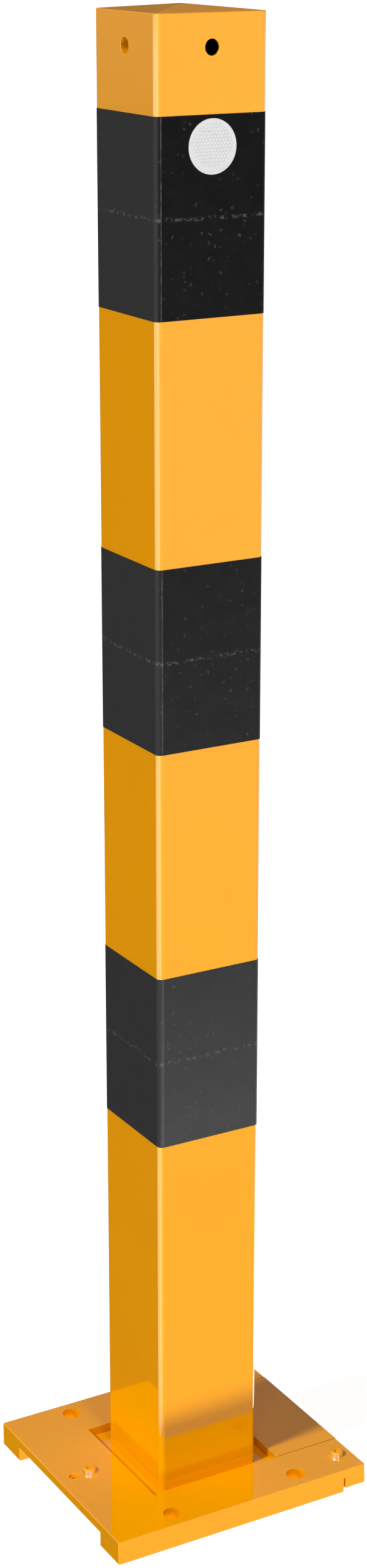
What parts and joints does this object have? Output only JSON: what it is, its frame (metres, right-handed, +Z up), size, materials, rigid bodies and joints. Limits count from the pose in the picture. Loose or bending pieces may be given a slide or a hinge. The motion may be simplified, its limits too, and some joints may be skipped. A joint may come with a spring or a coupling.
{
  "type": "safety bollard",
  "caption": "Square striped steel safety post on a bolt-down base; its foot slides sideways out of the base behind a clamped closing piece, so that the post can be exchanged.",
  "frame": {"origin": "on the ground under the centre of the base, which is also the post's axis", "axes": "+Z up along the post, +X towards the end where the post slides out, -Y the front, which carries the reflector"},
  "size_m": [0.18, 0.16, 0.9167],
  "materials": {
    "yellow_coat": "glossy powder coat",
    "black_film": "satin",
    "reflective_sheet": "retroreflective",
    "zinc_steel": "zinc plated"
  },
  "bodies": {
    "base": {"base_plate": "yellow_coat", "left_nut": "zinc_steel", "front_nut": "zinc_steel", "back_nut": "zinc_steel"},
    "post": {"foot_plate": "yellow_coat", "foot_weld": "yellow_coat", "post_tube": "yellow_coat", "post_cap": "yellow_coat", "band_lower": "black_film", "band_middle": "black_film", "band_upper": "black_film", "reflector": "reflective_sheet"},
    "closing_piece": {"closing_tongue": "yellow_coat", "closing_bar": "yellow_coat", "closing_weld": "yellow_coat"},
    "left_clamp_screw": {"left_screw": "yellow_coat"},
    "front_clamp_screw": {"front_screw": "yellow_coat"},
    "back_clamp_screw": {"back_screw": "yellow_coat"},
    "set_screw": {"stop_screw": "zinc_steel"}
  },
  "joints": [
    {"name": "post_slide", "type": "slide", "parent": "base", "child": "post", "axis": [1, 0, 0], "range_m": [0, 0.17]},
    {"name": "closing_piece_slide", "type": "slide", "parent": "base", "child": "closing_piece", "axis": [1, 0, 0], "range_m": [0, 0.255]},
    {"name": "left_screw_out", "type": "slide", "parent": "base", "child": "left_clamp_screw", "axis": [0, 0, 1], "range_m": [0, 0.016]},
    {"name": "front_screw_out", "type": "slide", "parent": "base", "child": "front_clamp_screw", "axis": [0, 0, 1], "range_m": [0, 0.016]},
    {"name": "back_screw_out", "type": "slide", "parent": "base", "child": "back_clamp_screw", "axis": [0, 0, 1], "range_m": [0, 0.016]},
    {"name": "set_screw_down", "type": "slide", "parent": "base", "child": "set_screw", "axis": [0, 0, -1], "range_m": [0, 0.01]}
  ],
  "couplings": [
    {"joint": "closing_piece_slide", "follows": "post_slide", "ratio": 1.5}
  ]
}
